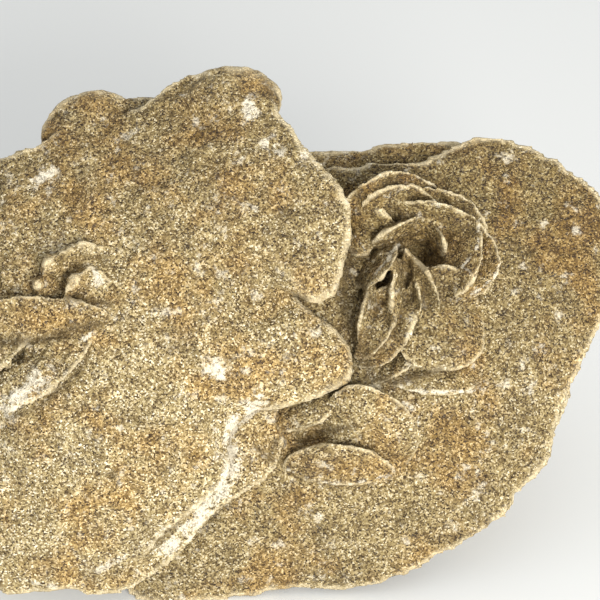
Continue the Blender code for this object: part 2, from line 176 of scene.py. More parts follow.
def right_rosette():
    """Small blades of the rose that grows in the upper left of the right disc."""
    return [
        Blade((15.2, 18.6, 6.5), 26, 32, (8.4, 8.4, 1.3)),  # broad petal at the top left
        Blade((16.8, 16.9, 7.4), 22, 36, (6.4, 7.0, 1.0), ragged=0.1),  # layer on its face
        Blade((21.4, 19.0, 3.6), -8, 44, (6.0, 5.4, 1.4)),  # its neighbour along the ledge
        Blade((20.4, 17.4, 5.6), -26, 38, (6.6, 6.4, 1.0)),  # leaf between them and the bowl
        Blade((25.1, 13.5, 6.6), -13, 42, (10.4, 7.0, 1.2)),  # crest above the bowl
        Blade((26.4, 15.4, 4.6), -20, 48, (9.4, 7.0, 1.0)),  # layer behind the crest
        Blade((13.0, 12.9, 6.0), -23, 40, (5.6, 6.8, 1.3)),  # three-cornered petal
        Blade((17.7, 12.7, 6.5), 28, 8, (5.6, 6.4, 1.1), edge=0.65),  # rib beside the bowl
        Blade((26.5, 8.4, 6.0), -109, 45, (9.2, 10.2, 1.3)),  # bowl petal
        Blade((29.5, 7.4, 4.6), -108, 56, (7.6, 9.6, 1.1)),  # petal outside the bowl
        Blade((26.2, -1.0, 5.4), 2, 48, (7.4, 9.8, 1.6)),  # front wall of the bowl
        Blade((25.3, 10.9, 6.5), -74, 12, (3.4, 6.4, 1.1), edge=0.65),  # upright inside the bowl
        Blade((14.2, 6.5, 6.5), 52, -18, (5.6, 7.4, 1.3), edge=0.65),  # bright rib on the left
        Blade((16.0, -1.0, 5.5), -12, 35, (3.4, 6.2, 1.0)),  # step between the ribs
        Blade((18.5, 1.5, 6.0), 86, 14, (6.6, 7.0, 1.3), edge=0.7),  # rib down the middle
        Blade((22.2, 3.6, 6.2), -60, 14, (7.0, 7.8, 1.4), edge=0.7),  # rib to the lower right
        Blade((21.5, 1.0, 6.0), -80, 6, (4.4, 6.2, 1.0), edge=0.6),  # short rib beside it
        Blade((12.9, -2.9, 6.0), 77, 16, (6.4, 6.6, 1.3), edge=0.7),  # rib at the lower left
        Blade((15.6, -4.2, 6.0), 70, -14, (4.6, 6.4, 1.0), edge=0.6),  # rib on the petal below
        Blade((15.0, -5.2, 6.8), 56, -52, (9.0, 7.2, 1.3)),  # petal under the ribs
        Blade((13.4, -5.4, 8.2), 57, -44, (7.0, 5.0, 0.9)),  # layer on its face
        Blade((18.2, -10.6, 5.6), 40, -40, (7.5, 4.6, 1.0)),  # its lower layer
        Blade((27.2, -6.2, 6.2), -14, 106, (7.8, 7.4, 3.2), edge=1.1),  # swollen petal
        Blade((25.4, -3.2, 6.4), -22, 92, (7.4, 5.6, 3.0), edge=0.9),  # its upper layer
        Blade((22.6, -7.4, 6.8), -60, -58, (6.4, 5.4, 1.2)),  # its left edge
        Blade((24.9, -14.0, 5.4), -3, -62, (10.0, 4.4, 1.1)),  # flat bright blade
        Blade((11.2, 10.4, 6.4), -48, 62, (2.6, 2.8, 0.7)),  # white chip by the front disc
    ]


def lower_petals():
    """Petals that come out from under the front disc onto the right disc."""
    return [
        Blade((12.0, -25.4, 5.2), -24, 56, (10.5, 11.5, 1.9), edge=0.8),  # broad pale petal
        Blade((7.2, -32.4, 4.6), -3, 50, (11.0, 7.6, 1.6)),  # dark face below it
        Blade((7.5, -32.0, 4.6), -3, -68, (10.6, 2.8, 0.9)),  # thin pale rim under it
        Blade((0.6, -19.6, 5.6), 28, -60, (7.0, 5.4, 1.4)),  # flap under the disc's edge
    ]


def left_rosette():
    """Petals of the smaller rose near the left edge of the front disc."""
    return [
        Blade((-46.4, 2.4, 13.2), 82, 18, (3.4, 4.6, 2.0), ragged=0.3, edge=1.3),  # rough arc
        Blade((-45.0, 5.0, 13.4), 56, 20, (3.6, 5.2, 2.1), ragged=0.3, edge=1.3),
        Blade((-42.4, 7.2, 13.6), 34, 26, (3.8, 5.0, 2.0), ragged=0.3, edge=1.2),
        Blade((-39.0, 8.2, 13.4), 4, 34, (3.4, 4.4, 1.7), ragged=0.3, edge=1.0),
        Blade((-40.0, 2.6, 13.8), 48, 16, (4.8, 5.2, 1.7), ragged=0.2, edge=1.1),  # lump within it
        Blade((-37.6, 1.4, 14.2), -4, 66, (4.4, 4.6, 2.2), ragged=0.2, edge=1.1),  # its golden face
        Blade((-45.2, -6.0, 13.2), -6, 55, (15.4, 8.4, 1.7), edge=0.8),  # long crest
        Blade((-48.0, -10.9, 13.6), 38, -56, (13.2, 7.6, 1.6), edge=0.8),  # white-edged ledge
        Blade((-55.4, -8.4, 12.8), 42, -50, (8.4, 5.0, 1.1)),  # thin ledge beyond it
        Blade((-58.6, -1.0, 10.6), 66, 30, (9.0, 6.5, 1.4)),
        Blade((-60.0, 8.0, 9.0), 124, 35, (7.5, 6.0, 1.3)),
        Blade((-60.5, -14.0, 9.5), 20, -40, (8.0, 6.0, 1.3)),
    ]


def back_blades():
    """Discs crossed behind the face, which carry it."""
    return [
        Blade((-26, -10.8, -22), 90, 30, (34, 32, 6), edge=WORN_RIM),
        Blade((20, -12.8, -22), 90, -32, (33, 30, 5.5), edge=WORN_RIM),
        Blade((-4, 0, -26), 0, 145, (42, 30, 5), edge=WORN_RIM),
        Blade((-4, -26, -28), 8, 140, (38, 27, 7), edge=1.5),
        Blade((-2, -4, -34), 20, 20, (30, 24, 5), edge=WORN_RIM),
        Blade((34, 2, -14), 60, 160, (17, 15, 3.5), edge=0.9),
        Blade((-48, 2, -16), 110, 150, (18, 15, 4), edge=0.9),
        Blade((12, 6, -26), 72, 168, (20, 20, 4), edge=0.9),
        Blade((-20, 5, -26), 112, 196, (19, 18, 4), edge=0.9),
        Blade((-5, 9, -18), 24, 122, (21, 15, 3.5), edge=0.9),
    ]


def rim_profile(blade, angles, seed):
    """Radius and lift of a blade's rim at the given angles, in radians."""
    waves = [noise.noise((1.3 * math.cos(a), 1.3 * math.sin(a), seed)) for a in angles]
    ripples = [noise.noise((4.0 * math.cos(a), 4.0 * math.sin(a), seed + 50)) for a in angles]
    uneven = blade.ragged * (np.array(waves) + 0.4 * np.array(ripples))
    if not blade.rim:
        long, high = blade.size[0], blade.size[1]
        round_radius = long * high / np.hypot(high * np.cos(angles), long * np.sin(angles))
        return round_radius * (1 + uneven), np.zeros(len(angles))
    around = np.radians([point[0] for point in blade.rim])
    radius = smooth_ring(around, [point[1] for point in blade.rim], angles)
    lift = smooth_ring(around, [point[2] for point in blade.rim], angles)
    return radius * (1 + 0.35 * uneven), lift


def smooth_ring(around, values, angles):
    """Smooth periodic curve through values given at the angles around."""
    order = np.argsort(np.mod(around, math.tau))
    knots = np.mod(around, math.tau)[order]
    heights = np.array(values, dtype=float)[order]
    knots = np.concatenate((knots[-2:] - math.tau, knots, knots[:2] + math.tau))
    heights = np.concatenate((heights[-2:], heights, heights[:2]))
    slopes = np.gradient(heights, knots)
    asked = np.mod(angles, math.tau)
    cell = np.clip(np.searchsorted(knots, asked, side="right") - 1, 0, len(knots) - 2)
    width = knots[cell + 1] - knots[cell]
    t = (asked - knots[cell]) / width
    start = (2 * t**3 - 3 * t**2 + 1) * heights[cell] + (t**3 - 2 * t**2 + t) * width * slopes[cell]
    end = (3 * t**2 - 2 * t**3) * heights[cell + 1] + (t**3 - t**2) * width * slopes[cell + 1]
    return start + end


def blade_axes(blade):
    """The blade's length, height and thickness directions in the face frame."""
    run, lean = math.radians(blade.run), math.radians(blade.lean)
    length = Vector((math.cos(run), math.sin(run), 0))
    side = Vector((-math.sin(run), math.cos(run), 0))
    height = Vector((0, 0, 1)) * math.cos(lean) + side * math.sin(lean)
    return length, height, length.cross(height)


def lens_mesh(blade, seed):
    """One lens: a sphere squashed to the blade's outline and thickness."""
    large = max(blade.size[:2]) > 12
    bm = bmesh.new()
    bmesh.ops.create_uvsphere(
        bm, u_segments=160 if large else 64, v_segments=48 if large else 28, radius=1.0
    )
    ball = np.array([vert.co[:] for vert in bm.verts])
    across = np.hypot(ball[:, 0], ball[:, 1])
    radius, lift = rim_profile(blade, np.arctan2(ball[:, 1], ball[:, 0]), seed)
    swell = blade.edge + (blade.size[2] - blade.edge) * np.abs(ball[:, 2])
    local = np.column_stack(
        (
            ball[:, 0] * radius,
            ball[:, 1] * radius,
            ball[:, 2] * swell + lift * across**2,
        )
    )
    placed = local @ np.array([axis[:] for axis in blade_axes(blade)]) + np.array(blade.at)
    for vert, place in zip(bm.verts, placed, strict=True):
        vert.co = place
    mesh = bpy.data.meshes.new("lens")
    bm.to_mesh(mesh)
    bm.free()
    return mesh


def stand_up(points):
    """Face-frame millimetres to metres in the row frame."""
    lean = math.radians(FACE_LEAN)
    u, v, w = points[:, 0], points[:, 1], points[:, 2]
    y = v * math.sin(lean) - w * math.cos(lean)
    z = v * math.cos(lean) + w * math.sin(lean) + FACE_HEIGHT
    return np.column_stack((u - PART_MIDDLE[0], y - PART_MIDDLE[1], z)) * MM


def face_places(points):
    """The face-frame u, v and w of points in the row frame."""
    lean = math.radians(FACE_LEAN)
    u = points[:, 0] / MM + PART_MIDDLE[0]
    y = points[:, 1] / MM + PART_MIDDLE[1]
    z = points[:, 2] / MM - FACE_HEIGHT
    return u, y * math.sin(lean) + z * math.cos(lean), z * math.sin(lean) - y * math.cos(lean)


def read_vectors(items, name):
    """Three numbers for each of a mesh's items, as one array."""
    values = np.empty(len(items) * 3, dtype=np.float32)
    items.foreach_get(name, values)
    return values.reshape(-1, 3).astype(float)


def joined_skin(name, numbered_blades, cell, softening=2):
    """Closed skin over the blades, without the walls of pockets inside."""
    bm = bmesh.new()
    for number, blade in numbered_blades:
        lens = lens_mesh(blade, number * SEED_STEP)
        bm.from_mesh(lens)
        bpy.data.meshes.remove(lens)
    mesh = bpy.data.meshes.new(name)
    bm.to_mesh(mesh)
    bm.free()
    mesh.vertices.foreach_set("co", stand_up(read_vectors(mesh.vertices, "co")).ravel())
    skin = bpy.data.objects.new(name, mesh)
    bpy.context.scene.collection.objects.link(skin)
    remesh = skin.modifiers.new("remesh", "REMESH")
    remesh.mode = "VOXEL"
    remesh.voxel_size = cell * MM
    smooth = skin.modifiers.new("smooth", "SMOOTH")
    smooth.factor = 0.5
    smooth.iterations = softening
    depsgraph = bpy.context.evaluated_depsgraph_get()
    shaped = bpy.data.meshes.new_from_object(skin.evaluated_get(depsgraph))
    skin.modifiers.clear()
    skin.data = shaped
    return keep_outer_shells(skin, name)


def keep_outer_shells(skin, name):
    """Drops the shells that face inwards: the walls of sealed pockets."""
    bpy.ops.object.select_all(action="DESELECT")
    skin.select_set(True)
    bpy.context.view_layer.objects.active = skin
    bpy.ops.mesh.separate(type="LOOSE")
    shells = list(bpy.context.selected_objects)
    outer = [shell for shell in shells if signed_volume(shell.data) > 0]
    for shell in shells:
        if shell not in outer:
            bpy.data.objects.remove(shell)
    bpy.context.view_layer.objects.active = outer[0]
    bpy.ops.object.join()
    outer[0].name = name
    return outer[0]


def signed_volume(mesh):
    """Negative where the faces of a closed mesh point inwards."""
    bm = bmesh.new()
    bm.from_mesh(mesh)
    volume = bm.calc_volume(signed=True)
    bm.free()
    return volume


def fractal(points, spacing, octaves=2, offset=0.0):
    """Uneven noise at each point; offset moves to another part of the pattern."""
    scale = 1 / (spacing * MM)
    shift = Vector((offset, -offset, offset))
    values = [
        noise.fractal(Vector(point) * scale + shift, 1.0, 2.0, octaves) for point in points.tolist()
    ]
    return np.array(values)


def pit_pattern(points):
    """1 in the middle of a pit, falling to 0 at its rim."""
    scale = 1 / (PIT_SPACING * MM)
    depth = np.array([noise.voronoi(Vector(point) * scale)[0][0] for point in points.tolist()])
    return np.clip(1.4 - depth / 0.16, 0, 1)


def hollow_depth(points):
    """How deep each point lies in the hollows between the blades, in millimetres."""
    u, v, w = face_places(points)
    depth = np.zeros(len(points))
    for at_u, at_v, half_u, half_v, deep in HOLLOWS:
        away = ((u - at_u) / half_u) ** 2 + ((v - at_v) / half_v) ** 2
        depth = np.maximum(depth, deep * np.clip(1 - away, 0, 1) * (w > -2))
    return depth


def edge_lists(mesh):
    """The two vertices of each edge."""
    pairs = np.empty(len(mesh.edges) * 2, dtype=np.int32)
    mesh.edges.foreach_get("vertices", pairs)
    return pairs.reshape(-1, 2)


def spread_values(values, pairs, rounds):
    """Averages each vertex with its neighbours, a number of times."""
    count = np.bincount(pairs.ravel(), minlength=len(values))
    for _ in range(rounds):
        total = np.zeros_like(values)
        np.add.at(total, pairs[:, 0], values[pairs[:, 1]])
        np.add.at(total, pairs[:, 1], values[pairs[:, 0]])
        mean = total / (count[:, None] if values.ndim > 1 else count)
        values = 0.5 * values + 0.5 * mean
    return values


def bulge(points, normals, pairs, rounds):
    """How far each point stands out of its surroundings, in millimetres; creases are negative."""
    around = spread_values(points, pairs, rounds)
    return ((points - around) * normals).sum(axis=1) / MM


def shelter_of(skins):
    """How much of the sky each point of each skin is shut off from, 0 to 1, by nearby blades."""
    trees = []
    for skin in skins:
        mesh = skin.data
        mesh.calc_loop_triangles()
        points = read_vectors(mesh.vertices, "co")
        triangles = np.empty(len(mesh.loop_triangles) * 3, dtype=np.int32)
        mesh.loop_triangles.foreach_get("vertices", triangles)
        trees.append((points, triangles.reshape(-1, 3)))
    offsets = np.cumsum([0] + [len(points) for points, _ in trees[:-1]])
    everything = np.concatenate([points for points, _ in trees])
    faces = np.concatenate([tris + start for (_, tris), start in zip(trees, offsets, strict=True)])
    tree = BVHTree.FromPolygons(everything.tolist(), faces.tolist(), all_triangles=True)
    generator = np.random.default_rng(3)
    for skin, (points, _) in zip(skins, trees, strict=True):
        normals = read_vectors(skin.data.vertex_normals, "vector")
        blocked = np.zeros(len(points))
        starts = (points + normals * SHELTER_START * MM).tolist()
        for _ in range(SHELTER_RAYS):
            ways = normals + 0.97 * unit(generator.normal(size=normals.shape))
            ways = ways.tolist()
            hits = [
                tree.ray_cast(start, way, SHELTER_REACH * MM)[3]
                for start, way in zip(starts, ways, strict=True)
            ]
            blocked += [0.0 if hit is None else 1 - hit / (SHELTER_REACH * MM) for hit in hits]
        blocked = spread_values(blocked / SHELTER_RAYS, edge_lists(skin.data), 4)
        set_attribute(skin.data, "shelter", blocked)


def unit(vectors):
    return vectors / np.linalg.norm(vectors, axis=-1, keepdims=True)


def set_attribute(mesh, name, values):
    """Stores one number for each vertex, which the materials read."""
    layer = mesh.attributes.new(name, "FLOAT", "POINT")
    layer.data.foreach_set("value", values.astype(np.float32))


def weather(skin, pitted, rough, dull_and_shade):
    """Adds relief to a skin and stores where it is worn pale and where it is darkened: painted
    shade in creases, pits and along listed lines, golden patches that are partly painted shade, and
    a dulling per group with painted shade growing towards the top of the face.
    """
    mesh = skin.data
    points = read_vectors(mesh.vertices, "co")
    normals = read_vectors(mesh.vertex_normals, "vector")
    pairs = edge_lists(mesh)
    stands_out = bulge(points, normals, pairs, 14)
    height = LUMPS[1] * fractal(points, LUMPS[0])
    height += rough * CRUST[1] * fractal(points, CRUST[0], offset=47)
    height += rough * KNOBBLES[1] * fractal(points, KNOBBLES[0], offset=11)
    height += rough * ROUGHNESS[1] * fractal(points, ROUGHNESS[0], offset=23)
    height *= 1 - 0.6 * np.clip(stands_out / 0.3, 0, 1)
    where = np.clip(1.6 * fractal(points, 14.0, offset=31) + pitted, 0, 1)
    pit = pit_pattern(points) * where
    height -= PIT_DEPTH * pit
    points += normals * (height * MM)[:, None]
    lean = math.radians(FACE_LEAN)
    inward = np.array((0, math.cos(lean), -math.sin(lean)))
    points += inward * (hollow_depth(points) * MM)[:, None]
    points[:, 2] = np.maximum(points[:, 2], 0)
    mesh.vertices.foreach_set("co", points.astype(np.float32).ravel())
    mesh.update()
    # rim is high on rims, which are worn pale, and low in creases and pits, where the colour gets
    # painted shade.
    set_attribute(mesh, "rim", stands_out - 0.3 * pit)
    # dark is painted shade along the listed lines.
    set_attribute(mesh, "dark", line_marks(points, PAINTED_SHADE_LINES))
    set_attribute(mesh, "white", line_marks(points, WHITE_MARKS))
    set_attribute(mesh, "golden", round_marks(points, GOLDEN_AND_SHADE_PATCHES))
    # Painted shade: the colour grows darker towards the top of the face, added to each group's
    # dulling, less in the pale areas.
    height_up_face = np.clip(face_places(points)[1] / 38, -0.6, 1.1)
    dull_and_shade = dull_and_shade + 0.5 * height_up_face - round_marks(points, PALE_AREAS)
    set_attribute(mesh, "dull_and_shade", np.clip(dull_and_shade, 0, 1))
    mesh.shade_smooth()


# Worn white marks on the front: (half width, strength, points along it), in millimetres.
WHITE_MARKS = (
    (2.2, 1.0, ((-7.7, -18.4), (-12.3, -23.0), (-13.3, -26.2), (-12.0, -30.4), (-14.7, -36.1),
                (-18.2, -39.6), (-21.7, -43.9), (-26.0, -47.7))),
    (1.1, 0.7, ((-22.5, -41.0), (-30.0, -46.5), (-38.0, -50.5))),
    (0.9, 0.7, ((-53.0, -52.5), (-46.0, -54.0))),
    (2.8, 1.0, ((-14.8, -13.0), (-15.6, -12.2))),
    (2.0, 1.0, ((-9.3, 36.2), (-9.1, 34.2))),
    (2.4, 0.8, ((-6.0, 28.8), (-4.2, 26.8))),
    (2.2, 0.9, ((-49.0, 22.0), (-46.2, 23.6))),
    (1.0, 1.0, ((-37.6, 3.0), (-36.6, 3.6), (-37.2, 5.0))),
    (2.6, 1.0, ((-54.0, -20.4), (-47.2, -14.0))),
    (0.8, 0.9, ((-40.4, -7.8), (-38.2, -6.2))),
    (1.2, 0.6, ((-43.7, -45.6), (-40.8, -47.4))),
    (0.6, 0.8, ((18.6, -18.4), (21.8, -21.0), (22.4, -24.4))),
    (0.5, 0.9, ((19.0, -17.2), (33.0, -17.0))),
    (0.5, 0.7, ((-2.4, -31.8), (4.8, -34.2), (10.0, -34.4), (16.0, -33.0))),
    (0.5, 0.7, ((33.4, 15.6), (32.6, 9.8), (28.8, 4.4))),
    (0.5, 0.8, ((38.0, 9.0), (36.0, 4.0), (32.0, 1.0))),
    (0.6, 0.9, ((18.4, 10.4), (14.0, 5.0))),
    (0.4, 1.0, ((12.6, 9.0), (10.4, 11.8))),
    (0.5, 0.6, ((29.0, 30.0), (33.0, 30.6))),
)  # fmt: skip

# Painted shade in creases, in crevices and under ledges and lumps, in the same form.
PAINTED_SHADE_LINES = (
    (1.0, 0.9, ((-58.0, -8.0), (-47.0, -7.2), (-41.0, -5.0), (-36.8, -4.4))),
    (0.5, 0.9, ((-54.0, -22.0), (-48.0, -19.8), (-40.6, -13.2), (-38.8, -10.6))),
    (0.6, 0.9, ((-43.0, 0.4), (-37.0, -0.2), (-34.6, -0.8))),
    (0.5, 0.9, ((-44.8, 0.8), (-42.9, 4.2), (-40.0, 6.4))),
    (0.6, 0.6, ((-36.0, 8.4), (-35.0, 6.4))),
    (1.2, 0.8, ((9.4, 9.0), (8.0, 2.0), (9.6, -5.0), (13.0, -13.0))),
    (0.9, 0.7, ((11.2, 3.0), (14.0, -1.0))),
    (0.9, 0.9, ((12.6, -14.4), (18.0, -15.4), (26.0, -13.0))),
    (0.8, 0.9, ((0.0, -26.8), (4.6, -24.6), (9.6, -23.6))),
    (0.7, 0.8, ((-8.0, -27.6), (-5.6, -30.0), (-4.6, -26.4))),
    (0.6, 0.9, ((-1.4, 0.8), (1.0, 0.2))),
    (1.2, 0.8, ((8.6, 21.6), (10.8, 20.2))),
    (0.7, 0.8, ((-35.2, -32.0), (-34.6, -32.6))),
    (0.5, 0.9, ((18.6, -41.6), (19.2, -42.2))),
    (1.0, 0.6, ((-6.0, 41.0), (-4.6, 37.0))),
)  # fmt: skip

# Golden patches, partly the stone's colour and partly painted shade on faces that turn down and
# inside the bowl: (u, v, half width, half height, strength).
GOLDEN_AND_SHADE_PATCHES = (
    (-46.0, -3.6, 9.0, 3.2, 1.0),
    (-41.0, 3.0, 3.0, 4.5, 0.7),
    (9.0, -31.6, 9.5, 3.0, 0.9),
    (22.0, 9.0, 7.0, 5.0, 0.6),
    (-8.0, -27.0, 5.0, 6.0, 0.5),
    (-20.0, 36.0, 6.0, 4.0, 0.4),
)


# Paler areas: (u, v, half width, half height, strength).
PALE_AREAS = (
    (14.0, -23.0, 9.0, 7.0, 0.6),
    (4.0, -8.0, 8.0, 9.0, 0.25),
    (26.0, -14.5, 9.0, 3.0, 0.4),
    (15.4, 6.0, 3.4, 4.0, 0.8),
    (36.0, 3.0, 3.0, 4.0, 0.4),
)


def line_marks(points, marks):
    """How strongly each point of the front lies on one of the lines, 0 to 1."""
    u, v, w = face_places(points)
    places = np.column_stack((u, v))
    amount = np.zeros(len(points))
    for half, strength, corners in marks:
        for start, end in zip(corners, corners[1:], strict=False):
            along = np.array(end) - start
            share = np.clip(((places - start) @ along) / (along @ along), 0, 1)
            away = np.linalg.norm(places - start - share[:, None] * along, axis=1)
            amount = np.maximum(amount, strength * np.exp(-((away / half) ** 2)) * (w > 2))
    return amount


def round_marks(points, marks):
    """How strongly each point of the front lies in one of the ovals, 0 to 1."""
    u, v, w = face_places(points)
    amount = np.zeros(len(points))
    for at_u, at_v, half_u, half_v, strength in marks:
        away = ((u - at_u) / half_u) ** 2 + ((v - at_v) / half_v) ** 2
        amount = np.maximum(amount, strength * np.exp(-away) * (w > 2))
    return amount


def strew_grains(name, skins, count, seed, back_share):
    """Sand grains sunk into the skins: closed four-sided crystals, as a few joined meshes."""
    generator = np.random.default_rng(seed)
    corners, normals, weights, marks = [], [], [], []
    for skin in skins:
        mesh = skin.data
        mesh.calc_loop_triangles()
        points = read_vectors(mesh.vertices, "co")
        triangles = np.empty(len(mesh.loop_triangles) * 3, dtype=np.int32)
        mesh.loop_triangles.foreach_get("vertices", triangles)
        triangles = triangles.reshape(-1, 3)
        sides = points[triangles]
        across = np.cross(sides[:, 1] - sides[:, 0], sides[:, 2] - sides[:, 0])
        area = np.linalg.norm(across, axis=1)
        corners.append(sides)
        normals.append(across / np.maximum(area, 1e-12)[:, None])
        lean = math.radians(FACE_LEAN)
        outward = -across[:, 1] * math.cos(lean) + across[:, 2] * math.sin(lean)
        seen = np.where(outward > -0.2 * area, 1.0, back_share)
        shelter = np.empty(len(points), dtype=np.float32)
        mesh.attributes["shelter"].data.foreach_get("value", shelter)
        open_air = shelter[triangles].mean(axis=1) < BURIED
        weights.append(area * open_air * seen)
        values = np.empty((len(MARKS), len(points)), dtype=np.float32)
        for row, mark in zip(values, MARKS, strict=True):
            mesh.attributes[mark].data.foreach_get("value", row)
        marks.append(values[:, triangles].mean(axis=2).T)
    corners, normals = np.concatenate(corners), np.concatenate(normals)
    weights, marks = np.concatenate(weights), np.concatenate(marks)
    chosen = generator.choice(len(weights), size=count, p=weights / weights.sum())
    r1, r2 = np.sqrt(generator.random(count)), generator.random(count)
    picked = corners[chosen]
    middle = (
        (1 - r1)[:, None] * picked[:, 0]
        + (r1 * (1 - r2))[:, None] * picked[:, 1]
        + (r1 * r2)[:, None] * picked[:, 2]
    )
    middle -= normals[chosen] * (GRAIN_SINK * MM)
    size = GRAIN_RADIUS * MM * np.exp(generator.normal(0, GRAIN_SPREAD, count))
    size = np.minimum(size, 2.2 * GRAIN_RADIUS * MM)
    crystal = np.array(((1, 1, 1), (1, -1, -1), (-1, 1, -1), (-1, -1, 1))) / math.sqrt(3)
    stretched = crystal[None] * generator.uniform(0.75, 1.25, (count, 4, 1))
    turn = np.linalg.qr(generator.normal(size=(count, 3, 3)))[0]
    turn *= np.sign(np.linalg.det(turn))[:, None, None]
    grains = middle[:, None] + size[:, None, None] * np.einsum("nij,nkj->nki", turn, stretched)
    grains[:, :, 2] = np.maximum(grains[:, :, 2], 0)
    keep = grains[:, :, 2].max(axis=1) > 0.05 * MM
    grains, marks = grains[keep], marks[chosen][keep]
    tone = generator.random(len(grains))
    pieces = math.ceil(len(grains) / GRAINS_A_PIECE)
    order = np.argsort(middle[keep][:, 0], kind="stable")
    made = []
    for number, share in enumerate(np.array_split(order, pieces)):
        made.append(grain_piece(f"{name}_{number + 1}", grains[share], tone[share], marks[share]))
    return made


def grain_piece(name, grains, tone, marks):
    """One joined mesh of grains, each mapped to a small square of its own."""
    count = len(grains)
    faces = np.array(((0, 2, 1), (0, 1, 3), (0, 3, 2), (1, 2, 3)))
    loops = (np.arange(count)[:, None, None] * 4 + faces[None]).reshape(-1)
    mesh = bpy.data.meshes.new(name)
    mesh.vertices.add(count * 4)
    mesh.loops.add(count * 12)
    mesh.polygons.add(count * 4)
    mesh.vertices.foreach_set("co", grains.astype(np.float32).ravel())
    mesh.loops.foreach_set("vertex_index", loops.astype(np.int32))
    mesh.polygons.foreach_set("loop_start", np.arange(count * 4, dtype=np.int32) * 3)
    mesh.update(calc_edges=True)
    set_attribute(mesh, "tone", np.repeat(tone, 4))
    for column, mark in enumerate(MARKS):
        set_attribute(mesh, mark, np.repeat(marks[:, column], 4))
    side = math.ceil(math.sqrt(count))
    cell = np.column_stack((np.arange(count) % side, np.arange(count) // side))
    in_cell = np.array(((0.15, 0.15), (0.85, 0.15), (0.5, 0.85), (0.5, 0.4)))
    places = (cell[:, None] + in_cell[None]) / side
    layer = mesh.uv_layers.new(name="OFBake")
    layer.data.foreach_set("uv", places.reshape(-1, 2)[loops].astype(np.float32).ravel())
    piece = bpy.data.objects.new(name, mesh)
    bpy.context.scene.collection.objects.link(piece)
    return piece


# Materials


class Nodes:
    """Short calls for one material's node tree."""

    def __init__(self, name):
        self.material = bpy.data.materials.new(name)
        self.material.use_nodes = True
        self.tree = self.material.node_tree
        self.shader = self.tree.nodes["Principled BSDF"]
        self.places = self.add("ShaderNodeTexCoord").outputs["Object"]

    def add(self, kind, **settings):
        node = self.tree.nodes.new(kind)
        for key, value in settings.items():
            setattr(node, key, value)
        return node

    def put(self, socket, value):
        if isinstance(value, bpy.types.NodeSocket):
            self.tree.links.new(value, socket)
        else:
            socket.default_value = value

    def attribute(self, name):
        return self.add("ShaderNodeAttribute", attribute_name=name).outputs["Fac"]

    def noise(self, spacing, detail=2.0, roughness=0.5):
        node = self.add("ShaderNodeTexNoise")
        self.put(node.inputs["Vector"], self.places)
        self.put(node.inputs["Scale"], 1 / (spacing * MM))
        self.put(node.inputs["Detail"], detail)
        self.put(node.inputs["Roughness"], roughness)
        return node.outputs["Fac"]

    def cells(self, spacing):
        node = self.add("ShaderNodeTexVoronoi")
        self.put(node.inputs["Vector"], self.places)
        self.put(node.inputs["Scale"], 1 / (spacing * MM))
        return node

    def spread(self, value, low, high, to_low=0.0, to_high=1.0):
        node = self.add("ShaderNodeMapRange", interpolation_type="SMOOTHSTEP")
        self.put(node.inputs["Value"], value)
        self.put(node.inputs["From Min"], low)
        self.put(node.inputs["From Max"], high)
        self.put(node.inputs["To Min"], to_low)
        self.put(node.inputs["To Max"], to_high)
        return node.outputs["Result"]

    def math(self, operation, a, b):
        node = self.add("ShaderNodeMath", operation=operation)
        self.put(node.inputs[0], a)
        self.put(node.inputs[1], b)
        return node.outputs["Value"]

    def mix(self, share, a, b, blend="MIX"):
        node = self.add("ShaderNodeMix", data_type="RGBA", blend_type=blend)
        self.put(node.inputs["Factor"], share)
        self.put(node.inputs["A"], a)
        self.put(node.inputs["B"], b)
        return node.outputs["Result"]

    def ramp(self, value, stops):
        node = self.add("ShaderNodeValToRGB")
        self.put(node.inputs["Fac"], value)
        elements = node.color_ramp.elements
        while len(elements) < len(stops):
            elements.new(1.0)
        for element, (at, colour) in zip(elements, stops, strict=True):
            element.position = at
            element.color = (*colour, 1)
        return node.outputs["Color"]


# Sand colours, from the darkest grains to clear white crystal.
GRAIN_COLOURS = (
    (0.0, (0.040, 0.022, 0.005)),
    (0.14, (0.110, 0.069, 0.020)),
    (0.38, (0.280, 0.205, 0.086)),
    (0.70, (0.48, 0.380, 0.182)),
    (0.88, (0.72, 0.60, 0.36)),
    (1.0, (0.96, 0.89, 0.70)),
)
# Tints of whole areas, the colours of worn rims and white marks, and the painted shade of hollows,
# creases and lines.
GOLDEN = (0.90, 0.71, 0.42, 1)
GREY = (0.76, 0.75, 0.74, 1)
DULL_AND_SHADE_TINT = (0.53, 0.48, 0.35, 1)
PALE = (0.80, 0.73, 0.57, 1)
SANDY = (0.66, 0.55, 0.34, 1)
PAINTED_SHADE_COLOUR = (0.075, 0.048, 0.014, 1)


